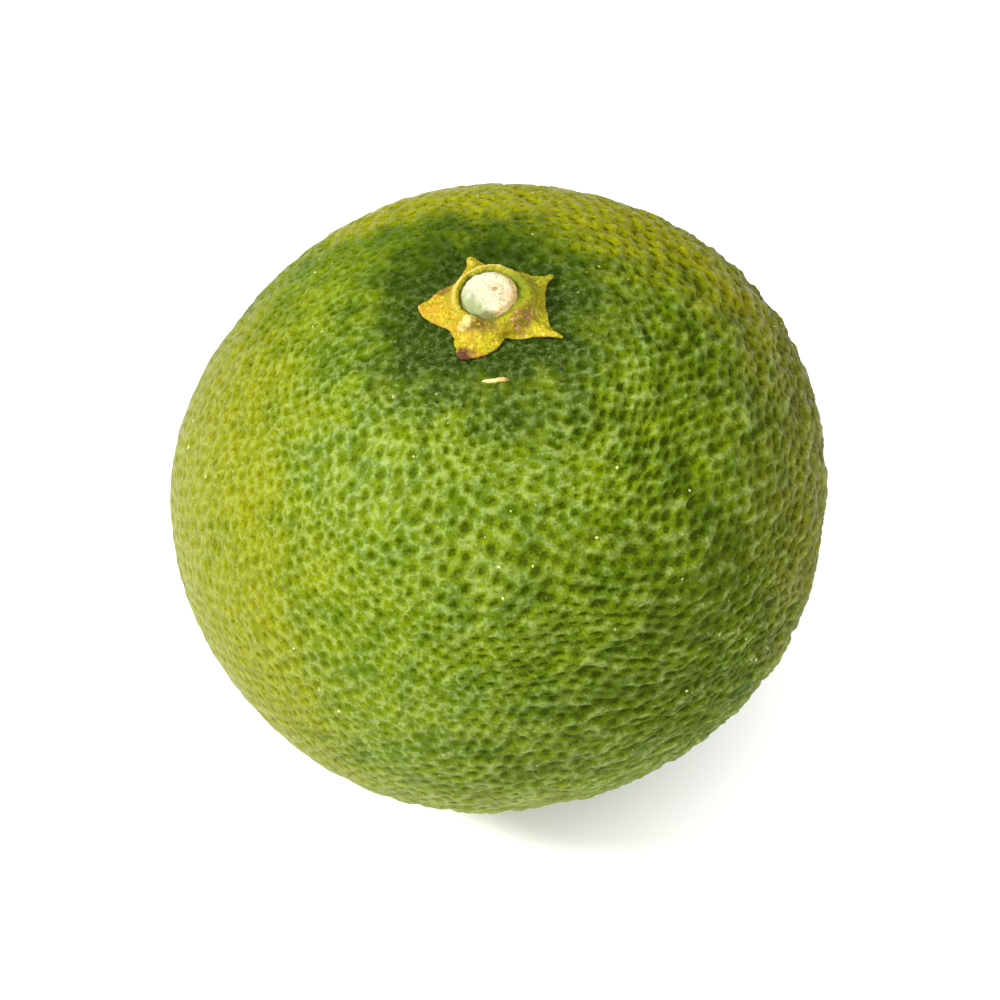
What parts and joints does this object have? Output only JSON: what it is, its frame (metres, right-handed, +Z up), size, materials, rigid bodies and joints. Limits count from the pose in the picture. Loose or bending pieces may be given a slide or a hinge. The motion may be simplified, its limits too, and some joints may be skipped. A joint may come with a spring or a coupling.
{
  "type": "sudachi fruit",
  "caption": "Small round green citrus fruit with a pitted peel, a star-shaped calyx and a cut stub of stem, standing on its blossom end.",
  "frame": {"origin": "on the surface the fruit stands on, under the middle of its bounding box", "axes": "+Z up from the blossom end to the stem; -Y is the side that the five-pointed calyx's two front points are on; +X to the right of it"},
  "size_m": [0.0398, 0.0386, 0.0359],
  "materials": {
    "peel": "waxy citrus peel, semi-gloss, pitted with oil glands",
    "calyx": "dry matt sepals, yellow with brown blemishes",
    "stem_wood": "freshly cut green wood, matt, pale cream face in a green bark rim"
  },
  "bodies": {
    "root": {"fruit": "peel", "calyx": "calyx", "stem_stub": "stem_wood"}
  },
  "joints": []
}
